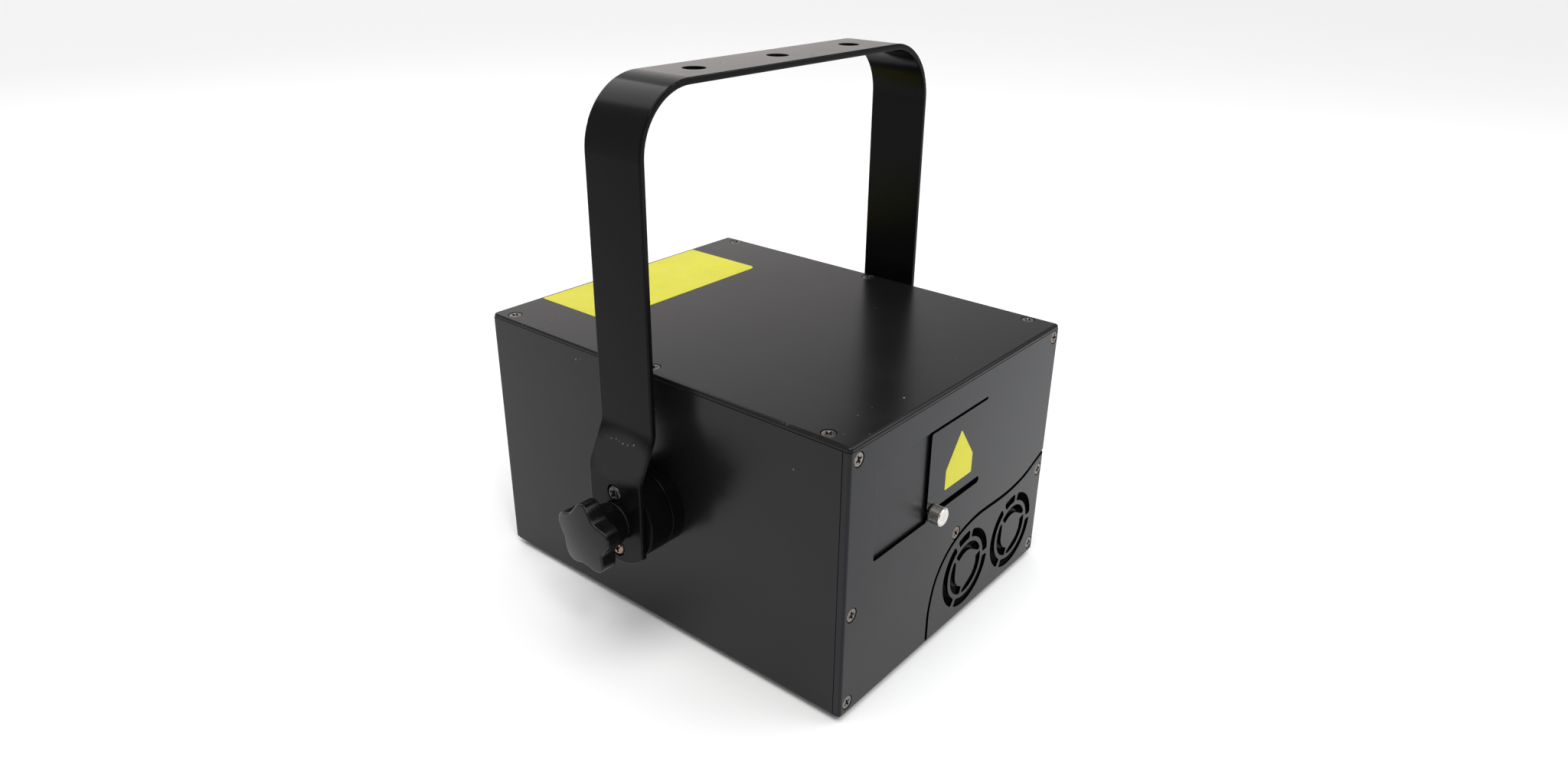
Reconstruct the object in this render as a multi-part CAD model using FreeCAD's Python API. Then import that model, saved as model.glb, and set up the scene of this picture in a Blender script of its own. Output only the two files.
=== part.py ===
import FreeCAD, Part
import os, math

# Laser show projector: sheet-metal case in a U-shaped yoke, sliding shutter over
# the laser aperture, two fans behind a cover plate in the front, connectors at the rear.
# Millimetres. +Z up, front face towards -Y, origin on the floor under the case centre.

# ---------------------------------------------------------------- driving dimensions
W, D, H = 237.0, 301.0, 179.0        # case width (X), depth (Y), height (Z)
FOOT_H = 4.0                         # rubber feet
T = 1.5                              # case sheet
T_FRONT = 1.5                        # front panel sheet
LIP = 2.7                            # height of the top cover's lip
JOINT = 0.5                          # gap between lip and walls
TOP_R = 2.2                          # bend radius of the top cover
RETURN = 5.0                         # depth of the front panel's side returns
FLANGE = 12.0                        # width of the walls' inner flanges

YOKE_W, YOKE_T = 44.0, 4.0           # flat bar of the yoke
YOKE_TOP = 350.0                     # top of the bar above the case bottom
YOKE_UP = 138.0                      # outer face of the upper arms from the centre plane
YOKE_LOW = 150.0                     # outer face of the lower arm ends
YOKE_R = 40.0                        # outer bend radius at the top
YOKE_END_R = 29.3                    # rounded lower end about the pivot
YOKE_EDGE = 1.1                      # rounded edges of the bar
SINK = 1.7                           # depth of the seats for the disc screws
JOG_LO, JOG_HI = 123.0, 147.5        # joggle, above the case bottom
HOLE_R, HOLE_X = 7.0, 73.0           # rigging holes in the top bar
PIVOT_H = 90.0                       # pivot height above the case bottom
DISC_R = 27.4                        # pivot discs
STUD_R = 4.0                         # knob stud (M8)
KNOB_R, KNOB_OUT = 23.0, 178.5       # star knob radius, outer face from the centre plane

WIN = (26.0, 81.0, 94.0, 155.5)      # shutter window in the front panel (x0, x1, z0, z1)
SLOT_Z = (95.8, 100.5)               # thumb-screw slot
SLOT_END = 142.5
TOPSLOT = (153.5, 155.5, 145.0)      # guide slot along the window's top edge
THUMB = (87.0, 98.2)                 # thumb-screw axis when closed
PROUD = 8.6                          # thumb screw in front of, key and safety eye behind the case
FANS = ((136.6, 33.0), (197.5, 33.0))
GAP = 2.8                            # seam between front panel and fan cover plate
SEAM = ((92.2, -6), (92.2, 0), (92.2, 10), (92.3, 20), (94, 30), (97, 40), (103, 50), (112, 58.5), (120, 63),
        (130, 66.5), (140, 68.5), (150, 69.3), (160, 69), (170, 68.5), (180, 68.2), (190, 68.5),
        (200, 69.5), (210, 71.5), (220, 75), (228, 78), (236, 81), (241, 82.9))
SCREWS_FRONT = ((7.4, 167.6, 20), (7.3, 67.9, 10), (6.8, 6.0, 25), (119.6, 68.2, 40), (230.4, 168.6, 75))
BASE_LINE = 2.2                      # front measurements start above the base edge
SCREWS_FAN = ((230.6, 67.8, 5), (230.6, 6.2, 0))

ZB = FOOT_H
ZT = ZB + H
X1, Y1 = W / 2, D / 2
ZP = ZB + PIVOT_H
WALL_TOP = ZT - LIP - JOINT
V = FreeCAD.Vector
os.makedirs("parts", exist_ok=True)


# ---------------------------------------------------------------- helpers
def box(x0, x1, y0, y1, z0, z1):
    return Part.makeBox(x1 - x0, y1 - y0, z1 - z0, V(x0, y0, z0))


def cyl(p, axis, r, h):
    return Part.makeCylinder(r, h, V(*p), V(*axis))


def fuse(shapes):
    s = shapes[0]
    if len(shapes) > 1:
        s = s.multiFuse(shapes[1:])
    return s.removeSplitter()


def cut(a, *tools):
    for t in tools:
        a = a.cut(t)
    return a


def fx(x):
    return x - 118.2


def fz(z):
    return z + ZB + BASE_LINE


def fillet(shape, r, test):
    edges = [e for e in shape.Edges if test(e)]
    if not edges:
        print("no edges to round")
        return shape
    try:
        s = shape.makeFillet(r, edges)
        if s.isValid() and abs(s.Volume) > 0:
            return s
    except Exception as err:
        print("fillet skipped:", err)
    return shape


def along(e, axis):
    a, b = e.Vertexes[0].Point, e.Vertexes[-1].Point
    d = (b - a)
    if d.Length < 1e-6:
        return False
    return abs(abs(d.normalize().dot(V(*axis))) - 1) < 1e-6 and isinstance(e.Curve, Part.Line)


def near(p, q, tol=0.05):
    return all(abs(a - b) < tol for a, b in zip(p, q) if b is not None)


def both(e, q, tol=0.05):
    return all(near((v.Point.x, v.Point.y, v.Point.z), q, tol) for v in e.Vertexes)


def mirror(s):
    return s.mirror(V(0, 0, 0), V(1, 0, 0))


def turn(s, p, axis, deg):
    c = s.copy()
    c.rotate(V(*p), V(*axis), deg)
    return c


def place(s, p, direction, spin=0.0):
    """Shape modelled along +Z at the origin, moved to p with +Z along direction."""
    c = s.copy()
    c.rotate(V(0, 0, 0), V(0, 0, 1), spin)
    rot = FreeCAD.Rotation(V(0, 0, 1), V(*direction))
    c.Placement = FreeCAD.Placement(V(*p), rot).multiply(c.Placement)
    return c


def out(name, shapes):
    shapes = shapes if isinstance(shapes, list) else [shapes]
    solids = [s for sh in shapes for s in sh.Solids]
    bad = [s for s in solids if not s.isValid() or s.Volume <= 0]
    group = Part.makeCompound(solids) if len(solids) > 1 else solids[0]
    group.exportStep("parts/%s.step" % name)
    bb = group.BoundBox
    print("%-24s solids %2d bad %d vol %9.1f  x %7.2f %7.2f  y %7.2f %7.2f  z %7.2f %7.2f" % (
        name, len(solids), len(bad), sum(s.Volume for s in solids),
        bb.XMin, bb.XMax, bb.YMin, bb.YMax, bb.ZMin, bb.ZMax))


def pan_screw(head_r, head_h, shank_r, length):
    """Cross-recessed pan head above z=0, shank below."""
    r, h = head_r, head_h
    a, b, c = V(r, 0, 0), V(r, 0, 0.42 * h), V(0.52 * r, 0, h)
    mid = V(0.86 * r, 0, 0.83 * h)
    w = Part.Wire([Part.LineSegment(V(0, 0, 0), a).toShape(), Part.LineSegment(a, b).toShape(),
                   Part.Arc(b, mid, c).toShape(), Part.LineSegment(c, V(0, 0, h)).toShape(),
                   Part.LineSegment(V(0, 0, h), V(0, 0, 0)).toShape()])
    head = Part.Face(w).revolve(V(0, 0, 0), V(0, 0, 1), 360)
    head = Part.Solid(head) if head.ShapeType != "Solid" else head
    k, q = 0.17 * r, 0.66 * r
    d = 0.66 * h
    head = cut(head, box(-q, q, -k, k, h - d, h + 1), box(-k, k, -q, q, h - d, h + 1),
               Part.makeCone(0.14 * r, 0.40 * r, d, V(0, 0, h - d)))
    return fuse([head, cyl((0, 0, -length), (0, 0, 1), shank_r, length)])


def flat_screw(r, sunk, shank_r, length):
    """Cross-recessed flat head, its rim sunk below z=0 and its middle slightly raised, shank below."""
    z = -sunk
    foot = z - 0.25 - (r - shank_r)
    a, b = V(0, 0, z + 0.3), V(r, 0, z)
    w = Part.Wire([Part.Arc(a, V(0.55 * r, 0, z + 0.21), b).toShape(), line(b, V(r, 0, z - 0.25)),
                   line(V(r, 0, z - 0.25), V(shank_r, 0, foot)), line(V(shank_r, 0, foot), V(shank_r, 0, -length)),
                   line(V(shank_r, 0, -length), V(0, 0, -length)), line(V(0, 0, -length), a)])
    s = Part.Face(w).revolve(V(0, 0, 0), V(0, 0, 1), 360)
    s = Part.Solid(s) if s.ShapeType != "Solid" else s
    k, q, d = 0.17 * r, 0.64 * r, 1.6
    return cut(s, box(-q, q, -k, k, z + 0.3 - d, 1), box(-k, k, -q, q, z + 0.3 - d, 1),
               Part.makeCone(0.14 * r, 0.42 * r, d, V(0, 0, z + 0.3 - d)))


def seat(p, direction):
    """Countersunk hole for a flat screw, through the cover and the flange behind it."""
    s = fuse([Part.makeCone(HOLE, SEAT + 0.2, SEAT - HOLE + 0.2, V(0, 0, HOLE - SEAT)), cyl((0, 0, -12), (0, 0, 1), HOLE, 12)])
    return place(s, p, direction)


def prism_xz(points, y0, y1):
    """Closed polygon in x, z extruded along Y."""
    w = Part.makePolygon([V(x, y0, z) for x, z in points] + [V(points[0][0], y0, points[0][1])])
    return Part.Face(w).extrude(V(0, y1 - y0, 0))


def arc_xz(cx, cz, r, a0, a1, y):
    p = [V(cx + r * math.cos(math.radians(a)), y, cz + r * math.sin(math.radians(a))) for a in (a0, (a0 + a1) / 2, a1)]
    return Part.Arc(*p).toShape()


def line(a, b):
    return Part.LineSegment(a, b).toShape()


# ---------------------------------------------------------------- case shells
HOLE = 2.15
SEAT = 4.75                          # countersink radius at the surface
top_y = (135.5, 2.5, -130.5)
side_x = X1 - 7.2

base = box(-X1 + 0.8, X1 - 0.8, -Y1 + 0.8, Y1 - 0.8, ZB, ZB + T)
base = fillet(base, 2.0, lambda e: along(e, (0, 0, 1)))
base = fillet(base, 0.5, lambda e: both(e, (None, None, ZB)))
base_y = (-105.0, -35.0, 35.0, 105.0)
foot_xy = [(sx * 86.0, sy * 118.0) for sx in (-1, 1) for sy in (-1, 1)]
base = cut(base, *[seat((sx * side_x, y, ZB), (0, 0, -1)) for sx in (-1, 1) for y in base_y])
base = cut(base, *[cyl((x, y, ZB - 1), (0, 0, 1), 2.55, 5) for x, y in foot_xy])
slots = [box(x - 1.5, x + 1.5, y - 14, y + 14, ZB - 1, ZB + 5) for x in range(-40, -28, 6) for y in (-60, 0, 60)]
base = cut(base, *slots)
out("base_plate", base)


def side_panel(right):
    x = lambda a: -a
    low = 110.3 if right else X1 - T - FLANGE
    s = [box(-X1, -X1 + T, -Y1 + RETURN + JOINT, Y1 - T - 0.1, ZB + T, WALL_TOP),
         box(-X1 + T, -X1 + 2 * T, -Y1 + RETURN + JOINT, Y1 - 3.0, ZT - 20, ZT - T),
         box(-X1 + T, -X1 + T + FLANGE, -Y1 + RETURN + JOINT, Y1 - 3.0, ZT - 2 * T, ZT - T),
         box(-X1 + 0.5, -X1 + T + FLANGE, -121.0, Y1 - 3.0, ZB + T, ZB + 2 * T),
         box(-X1 + T, -X1 + 2 * T, -Y1 + T_FRONT, -125.0, ZB + 2 * T, ZT - 2 * T),
         box(-X1 + T, -X1 + T + FLANGE, -Y1 + T_FRONT, -Y1 + T_FRONT + T, fz(68.0), ZT - 2 * T),
         box(-X1 + T, -low, -Y1 + T_FRONT, -Y1 + T_FRONT + T, ZB + 2 * T, fz(68.0)),
         box(-X1 + T, -X1 + T + FLANGE, Y1 - T - 0.1 - T, Y1 - T - 0.1, ZB + 2 * T, ZT - 2 * T)]
    p = fuse(s)
    p = cut(p, cyl((-X1 - 5, 0, ZP), (1, 0, 0), 6.05, 20))
    p = cut(p, *[seat((-side_x, y, ZT), (0, 0, 1)) for y in top_y])
    p = cut(p, *[seat((-side_x, y, ZB), (0, 0, -1)) for y in base_y])
    p = cut(p, *[seat((-side_x, Y1, z), (0, 1, 0)) for z in (ZB + 12, ZP, ZT - 12)])
    front = [(q[0], q[1]) for q in SCREWS_FRONT + SCREWS_FAN if (q[0] > 200) == right and abs(fx(q[0])) > 50]
    for u, w in front:
        p = cut(p, seat(((-1 if right else 1) * fx(u), -Y1, fz(w)), (0, -1, 0)))
    return mirror(p) if right else p


out("left_side_panel", side_panel(False))
out("right_side_panel", side_panel(True))

top = box(-X1, X1, -Y1, Y1, ZT - LIP, ZT)
top = fillet(top, 2.5, lambda e: along(e, (0, 0, 1)))
top = fillet(top, TOP_R, lambda e: both(e, (None, None, ZT)))
inner = box(-X1 + T, X1 - T, -Y1 + T, Y1 - T, ZT - LIP - 1, ZT - T)
top = cut(top, inner)
top = cut(top, *[seat((sx * side_x, y, ZT), (0, 0, 1)) for sx in (-1, 1) for y in top_y])
out("top_cover", top)

# seam curve between the front panel and the fan cover plate, moved by +-half the gap
seam_pts = [V(fx(x), 0, fz(z)) for x, z in SEAM]


def seam_curve(offset, y):
    c = Part.BSplineCurve()
    c.interpolate(seam_pts)
    pts = []
    n = 44
    for i in range(n + 1):
        u = c.FirstParameter + (c.LastParameter - c.FirstParameter) * i / n
        p, t = c.value(u), c.tangent(u)[0]
        nrm = V(-t.z, 0, t.x)
        pts.append(V(p.x + nrm.x * offset, y, p.z + nrm.z * offset))
    k = Part.BSplineCurve()
    k.interpolate(pts)
    return k.toShape(), pts


def fan_region(offset, y0, y1, right, bottom):
    e, pts = seam_curve(offset, y0)
    a, b = pts[0], pts[-1]
    w = Part.Wire([e, line(b, V(right, y0, b.z)), line(V(right, y0, b.z), V(right, y0, bottom)),
                   line(V(right, y0, bottom), V(a.x, y0, bottom)), line(V(a.x, y0, bottom), a)])
    return Part.Face(w).extrude(V(0, y1 - y0, 0))


FB = ZB + T + 0.3
front = fuse([box(-X1, X1, -Y1, -Y1 + T_FRONT, FB, WALL_TOP),
              box(-X1, -X1 + T, -Y1, -Y1 + RETURN, FB, WALL_TOP),
              box(X1 - T, X1, -Y1, -Y1 + RETURN, FB, WALL_TOP)])
front = fillet(front, 1.8, lambda e: along(e, (0, 0, 1)) and (both(e, (-X1, -Y1, None)) or both(e, (X1, -Y1, None))))
front = cut(front, fan_region(GAP / 2, -Y1 - 5, -Y1 + 8, X1 + 10, ZB - 12))
win = fuse([box(fx(WIN[0]), fx(WIN[1]), -Y1 - 1, -Y1 + 4, fz(WIN[2]), fz(WIN[3])),
            box(fx(WIN[1]) - 1, fx(TOPSLOT[2]) - 1, -Y1 - 1, -Y1 + 4, fz(TOPSLOT[0]), fz(TOPSLOT[1])),
            cyl((fx(TOPSLOT[2]) - 1, -Y1 - 1, fz((TOPSLOT[0] + TOPSLOT[1]) / 2)), (0, 1, 0), 1.0, 5),
            box(fx(WIN[1]) - 1, fx(SLOT_END) - 2.35, -Y1 - 1, -Y1 + 4, fz(SLOT_Z[0]), fz(SLOT_Z[1])),
            cyl((fx(SLOT_END) - 2.35, -Y1 - 1, fz(sum(SLOT_Z) / 2)), (0, 1, 0), 2.35, 5)])
for cx, cz, r in ((WIN[0], WIN[2], 2.0), (WIN[0], WIN[3], 2.0), (WIN[1], TOPSLOT[0], 1.5), (WIN[1], SLOT_Z[1], 1.0)):
    win = fillet(win, r, lambda e, cx=cx, cz=cz: along(e, (0, 1, 0)) and both(e, (fx(cx), None, fz(cz))))
front = cut(front, win)
front = cut(front, *[seat((fx(u), -Y1, fz(w)), (0, -1, 0)) for u, w, a in SCREWS_FRONT])
out("front_panel", front)

fy = -Y1
fan_plate = fan_region(-GAP / 2, fy, fy + T_FRONT, X1 + 10, ZB - 12)
fan_plate = fan_plate.common(box(-X1, X1, -Y1 - 1, 0, FB, ZT))
ret = fan_region(-GAP / 2, fy + T_FRONT, -Y1 + RETURN, X1 + 10, ZB - 12).common(box(X1 - T, X1, -Y1 - 1, 0, FB, ZT))
fan_plate = fuse([fan_plate, ret])
fan_plate = fillet(fan_plate, 1.8, lambda e: along(e, (0, 0, 1)) and both(e, (X1, fy, None)))


def grille(u, w):
    """Openings of one fan grille: an outer ring of four slots and three inner crescents."""
    cx, cz, y0, y1 = fx(u), fz(w), fy - 1, fy + 4
    tools = []
    P = lambda r, a: V(cx + r * math.cos(math.radians(a)), y0, cz + r * math.sin(math.radians(a)))
    for a0, a1 in ((4, 78), (85, 115), (123.5, 235.5), (244, 356)):
        wr = Part.Wire([arc_xz(cx, cz, 28.0, a0, a1, y0), line(P(28, a1), P(22, a1)),
                        arc_xz(cx, cz, 22.0, a1, a0, y0), line(P(22, a0), P(28, a0))])
        s = Part.Face(wr).extrude(V(0, y1 - y0, 0))
        tools.append(fillet(s, 1.6, lambda e: along(e, (0, 1, 0))))
    for k in (0, -120, 120):
        a = P(19, 142)
        b = V(cx - 13.1, y0, cz + 10.0)
        wr = Part.Wire([arc_xz(cx, cz, 19.0, 142, 254, y0), line(P(19, 254), P(13.1, 254)),
                        arc_xz(cx, cz, 13.1, 254, 180, y0), line(P(13.1, 180), b), line(b, a)])
        s = Part.Face(wr).extrude(V(0, y1 - y0, 0))
        s = fillet(s, 0.9, lambda e: along(e, (0, 1, 0)) and not both(e, (cx - 13.1, None, cz)))
        tools.append(turn(s, (cx, 0, cz), (0, -1, 0), k))
    return tools


for u, w in FANS:
    fan_plate = cut(fan_plate, *grille(u, w))
fan_plate = cut(fan_plate, *[seat((fx(u), fy, fz(w)), (0, -1, 0)) for u, w, a in SCREWS_FAN])
out("fan_cover_plate", fan_plate)

bar = fuse([box(-X1 + T + FLANGE, X1 - T - FLANGE, -Y1 + T_FRONT, -Y1 + T_FRONT + T, fz(64.5), fz(76)),
            box(-X1 + T + FLANGE, X1 - T - FLANGE, -Y1 + T_FRONT, -Y1 + T_FRONT + 12, fz(74.5), fz(76))])
bar = cut(bar, seat((fx(SCREWS_FRONT[3][0]), -Y1, fz(SCREWS_FRONT[3][1])), (0, -1, 0)))
out("front_crossbar", bar)

# ---------------------------------------------------------------- rear panel and what sits in it
RY = Y1 - T                                  # inner face of the rear panel
INLET, SWITCH, DMX_IN, DMX_OUT, KEY = (80.0, 36.0), (40.0, 36.0), (2.0, 42.0), (-34.0, 42.0), (-76.0, 42.0)
DISPLAY, BUTTONS_Z, BUTTONS_X = (0.0, 122.0), 96.0, (-27.0, -9.0, 9.0, 27.0)
EYE = (-88.0, 150.0)
rear = box(-X1 + 0.2, X1 - 0.2, RY, Y1, FB, WALL_TOP)
rear = fillet(rear, 1.0, lambda e: along(e, (0, 0, 1)) and (both(e, (-X1 + 0.2, Y1, None)) or both(e, (X1 - 0.2, Y1, None))))
rear = cut(rear, box(INLET[0] - 14, INLET[0] + 14, RY - 1, Y1 + 1, INLET[1] - 10.5, INLET[1] + 10.5),
           box(SWITCH[0] - 6.6, SWITCH[0] + 6.6, RY - 1, Y1 + 1, SWITCH[1] - 9.6, SWITCH[1] + 9.6),
           cyl((DMX_IN[0], RY - 1, DMX_IN[1]), (0, 1, 0), 11.8, 5), cyl((DMX_OUT[0], RY - 1, DMX_OUT[1]), (0, 1, 0), 11.8, 5),
           cyl((KEY[0], RY - 1, KEY[1]), (0, 1, 0), 8.2, 5),
           box(DISPLAY[0] - 28, DISPLAY[0] + 28, RY - 1, Y1 + 1, DISPLAY[1] - 11, DISPLAY[1] + 11))
rear = cut(rear, *[cyl((x, RY - 1, BUTTONS_Z), (0, 1, 0), 4.35, 5) for x in BUTTONS_X])
rear = cut(rear, *[cyl((EYE[0] + s * 11, RY - 1, EYE[1]), (0, 1, 0), 2.55, 5) for s in (-1, 1)])
rear = cut(rear, *[seat((sx * side_x, Y1, z), (0, 1, 0)) for sx in (-1, 1) for z in (ZB + 12, ZP, ZT - 12)])
vents = []
for i in range(7):
    x = 52.0 + 7.0 * i
    v = box(x - 1.6, x + 1.6, RY - 1, Y1 + 1, 82.0, 152.0)
    vents.append(fillet(v, 1.55, lambda e: along(e, (0, 1, 0))))
rear = cut(rear, *vents)
rear = cut(rear, *[cyl((INLET[0] + s * 20, RY - 1, INLET[1]), (0, 1, 0), 1.75, 5) for s in (-1, 1)])
rear = cut(rear, *[cyl((c[0] + s * 9.5, RY - 1, c[1] + s * 12), (0, 1, 0), 1.65, 5) for c in (DMX_IN, DMX_OUT) for s in (-1, 1)])
out("rear_panel", rear)

x, z = INLET
inlet = fuse([fillet(box(x - 25, x + 25, Y1, Y1 + 2.5, z - 12, z + 12), 3.0, lambda e: along(e, (0, 1, 0))),
              box(x - 13.8, x + 13.8, Y1 - 24, Y1, z - 10.3, z + 10.3)])
cav = prism_xz([(x - 12, z - 8.2), (x + 12, z - 8.2), (x + 12, z + 3.6), (x + 7.6, z + 8.2), (x - 7.6, z + 8.2), (x - 12, z + 3.6)],
               Y1 - 13.5, Y1 + 5)
inlet = cut(inlet, cav)
inlet = cut(inlet, *[cyl((x + s * 20, Y1 - 1, z), (0, 1, 0), 1.75, 5) for s in (-1, 1)])
pins = [box(x + px - 1.0, x + px + 1.0, Y1 - 14.5, Y1 - 3.0, z + pz - 2.0, z + pz + 2.0) for px, pz in ((-7, -2), (7, -2), (0, 2))]
inlet = fuse([inlet] + pins)
out("power_inlet", inlet)

x, z = SWITCH
body = fuse([fillet(box(x - 8, x + 8, Y1, Y1 + 1.6, z - 11, z + 11), 1.2, lambda e: along(e, (0, 1, 0))),
             box(x - 6.5, x + 6.5, Y1 - 18, Y1, z - 9.5, z + 9.5)])
body = cut(body, box(x - 5.3, x + 5.3, Y1 - 9.5, Y1 + 3, z - 8.4, z + 8.4))
body = cut(body, cyl((x - 6.0, Y1 - 2.0, z), (1, 0, 0), 1.05, 12))
out("power_switch_body", body)
# rocker, tipped by its own 10 degrees, on two small trunnions
rp = [(z - 7.4, Y1 - 3.6), (z + 7.4, Y1 - 3.6), (z + 7.4, Y1 + 2.4), (z, Y1 + 0.6), (z - 7.4, Y1 + 2.4)]
wr = Part.makePolygon([V(x - 4.9, b, a) for a, b in rp + [rp[0]]])
rocker = Part.Face(wr).extrude(V(9.8, 0, 0))
rocker = fillet(rocker, 0.5, lambda e: along(e, (1, 0, 0)))
rocker = fuse([rocker, cyl((x - 5.8, Y1 - 2.0, z), (1, 0, 0), 1.0, 11.6)])
rocker = turn(rocker, (x, Y1 - 2.0, z), (1, 0, 0), -10)
out("power_rocker", rocker)


def d_flange(x, z):
    f = fillet(box(x - 13, x + 13, Y1, Y1 + 2, z - 15.5, z + 15.5), 3.0, lambda e: along(e, (0, 1, 0)))
    f = fillet(f, 0.5, lambda e: both(e, (None, Y1 + 2, None)))
    return f


x, z = DMX_IN
s = fuse([d_flange(x, z), cyl((x, Y1 - 22, z), (0, 1, 0), 11.6, 22)])
s = cut(s, cyl((x, Y1 - 12.5, z), (0, 1, 0), 9.0, 20))
s = cut(s, *[cyl((x + k * 9.5, Y1 - 1, z + k * 12), (0, 1, 0), 1.65, 5) for k in (-1, 1)])
s = fuse([s] + [cyl((x + 4.2 * math.cos(a), Y1 - 13.5, z + 4.2 * math.sin(a)), (0, 1, 0), 1.2, 9.5)
                for a in (math.radians(210), math.radians(330), math.radians(270))])
out("dmx_in_socket", s)
x, z = DMX_OUT
s = fuse([d_flange(x, z), cyl((x, Y1 - 22, z), (0, 1, 0), 11.6, 22)])
ring = cyl((x, Y1 - 3, z), (0, 1, 0), 9.6, 10).cut(cyl((x, Y1 - 4, z), (0, 1, 0), 8.0, 12))
s = cut(s, ring)
s = cut(s, *[cyl((x + k * 9.5, Y1 - 1, z + k * 12), (0, 1, 0), 1.65, 5) for k in (-1, 1)])
s = cut(s, *[cyl((x + 4.2 * math.cos(a), Y1 - 10, z + 4.2 * math.sin(a)), (0, 1, 0), 1.3, 15)
             for a in (math.radians(210), math.radians(330), math.radians(270))])
out("dmx_out_socket", s)
m3 = pan_screw(2.9, 1.9, 1.5, 6.0)
out("socket_screws", [place(m3, (c[0] + k * 9.5, Y1 + 2, c[1] + k * 12), (0, 1, 0), 30 * k) for c in (DMX_IN, DMX_OUT) for k in (-1, 1)]
    + [place(m3, (INLET[0] + k * 20, Y1 + 2.5, INLET[1]), (0, 1, 0), 20 * k) for k in (-1, 1)])

x, z = KEY
ks = fuse([cyl((x, Y1, z), (0, 1, 0), 10.5, 3.0), cyl((x, Y1 - 24, z), (0, 1, 0), 8.0, 24)])
ks = fillet(ks, 0.8, lambda e: isinstance(e.Curve, Part.Circle) and abs(e.Curve.Radius - 10.5) < 0.01 and abs(e.Vertexes[0].Point.y - Y1 - 3) < 0.01)
ks = cut(ks, cyl((x, Y1 - 16, z), (0, 1, 0), 5.55, 30))
out("key_switch_body", ks)
key = fuse([cyl((x, Y1 - 15.7, z), (0, 1, 0), 5.5, 18.5)])
bow = fuse([box(x - 1.1, x + 1.1, Y1 + 3.6, Y1 + PROUD, z - 7.5, z + 7.5), box(x - 1.1, x + 1.1, Y1 + 2.0, Y1 + 4.0, z - 4.0, z + 4.0)])
bow = fillet(bow, 2.4, lambda e: along(e, (1, 0, 0)) and e.Vertexes[0].Point.y > Y1 + 8)
bow = fillet(bow, 1.2, lambda e: along(e, (1, 0, 0)) and abs(e.Vertexes[0].Point.y - Y1 - 3.6) < 0.01 and abs(abs(e.Vertexes[0].Point.z - z) - 7.5) < 0.01)
bow = cut(bow, cyl((x - 3, Y1 + 6.2, z), (1, 0, 0), 1.1, 6))
key = fuse([key, bow])
out("switch_key", key)

x, z = DISPLAY
disp = fillet(box(x - 31, x + 31, Y1, Y1 + 1.2, z - 14, z + 14), 2.0, lambda e: along(e, (0, 1, 0)))
disp = fuse([disp, box(x - 27.7, x + 27.7, Y1 - 3.0, Y1, z - 10.7, z + 10.7)])
out("display_window", disp)
for i, bx in enumerate(BUTTONS_X):
    b = fuse([cyl((bx, RY - 1.8, BUTTONS_Z), (0, 1, 0), 4.0, 5.3), cyl((bx, RY - 1.8, BUTTONS_Z), (0, 1, 0), 5.4, 1.5)])
    b = fillet(b, 0.7, lambda e: isinstance(e.Curve, Part.Circle) and abs(e.Vertexes[0].Point.y - (RY + 3.5)) < 0.01)
    out("menu_button_%d" % (i + 1), b)

cy = RY - 8.5
ctl = [box(-46, 46, cy - 1.6, cy, 84, 142)]
ctl += [cyl((sx * 42, cy, z), (0, 1, 0), 3.0, RY - cy) for sx in (-1, 1) for z in (88.5, 138)]
ctl += [box(bx - 3, bx + 3, cy, cy + 3.6, BUTTONS_Z - 3, BUTTONS_Z + 3) for bx in BUTTONS_X]
ctl += [cyl((bx, cy, BUTTONS_Z), (0, 1, 0), 1.7, 5.0) for bx in BUTTONS_X]
ctl += [box(-27, 27, cy, Y1 - 3.2, DISPLAY[1] - 10, DISPLAY[1] + 10), box(-30, -10, cy - 4, cy, 100, 120), box(10, 34, cy - 9, cy, 90, 98)]
out("control_board", fuse(ctl))

ex, ez = EYE
ring_y, ring_r, bend = Y1 + PROUD - 1.75, 1.75, 4.0
q = bend * (1 - math.cos(math.radians(45)))
loop = Part.Wire([line(V(ex - 11, Y1, ez), V(ex - 11, ring_y - bend, ez)),
                  Part.Arc(V(ex - 11, ring_y - bend, ez), V(ex - 11 + q, ring_y - q, ez), V(ex - 11 + bend, ring_y, ez)).toShape(),
                  line(V(ex - 11 + bend, ring_y, ez), V(ex + 11 - bend, ring_y, ez)),
                  Part.Arc(V(ex + 11 - bend, ring_y, ez), V(ex + 11 - q, ring_y - q, ez), V(ex + 11, ring_y - bend, ez)).toShape(),
                  line(V(ex + 11, ring_y - bend, ez), V(ex + 11, Y1, ez))])
wire = Part.Wire([Part.makeCircle(ring_r, V(ex - 11, Y1, ez), V(0, 1, 0))])
eye = [loop.makePipeShell([wire], True, False)]
for k in (-1, 1):
    eye += [cyl((ex + 11 * k, RY - 8, ez), (0, 1, 0), 2.5, 8 + T), cyl((ex + 11 * k, RY - 4.0, ez), (0, 1, 0), 5.0, 4.0),
            cyl((ex + 11 * k, Y1, ez), (0, 1, 0), 4.6, 1.5)]
out("safety_eye", fuse(eye))

# ---------------------------------------------------------------- fasteners and feet
m4 = flat_screw(4.1, 0.25, 2.0, 6.5)
case = [place(m4, (sx * side_x, y, ZT), (0, 0, 1), 17 + 31 * i) for i, (sx, y) in enumerate([(s, y) for s in (-1, 1) for y in top_y])]
case += [place(m4, (fx(u), -Y1, fz(w)), (0, -1, 0), a) for u, w, a in SCREWS_FRONT]
case += [place(m4, (fx(u), fy, fz(w)), (0, -1, 0), a) for u, w, a in SCREWS_FAN]
case += [place(m4, (sx * side_x, Y1, z), (0, 1, 0), 23 * i) for i, (sx, z) in enumerate([(s, z) for s in (-1, 1) for z in (ZB + 12, ZP, ZT - 12)])]
case += [place(m4, (sx * side_x, y, ZB), (0, 0, -1), 41 * i) for i, (sx, y) in enumerate([(s, y) for s in (-1, 1) for y in base_y])]
out("case_screws", case)

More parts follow.
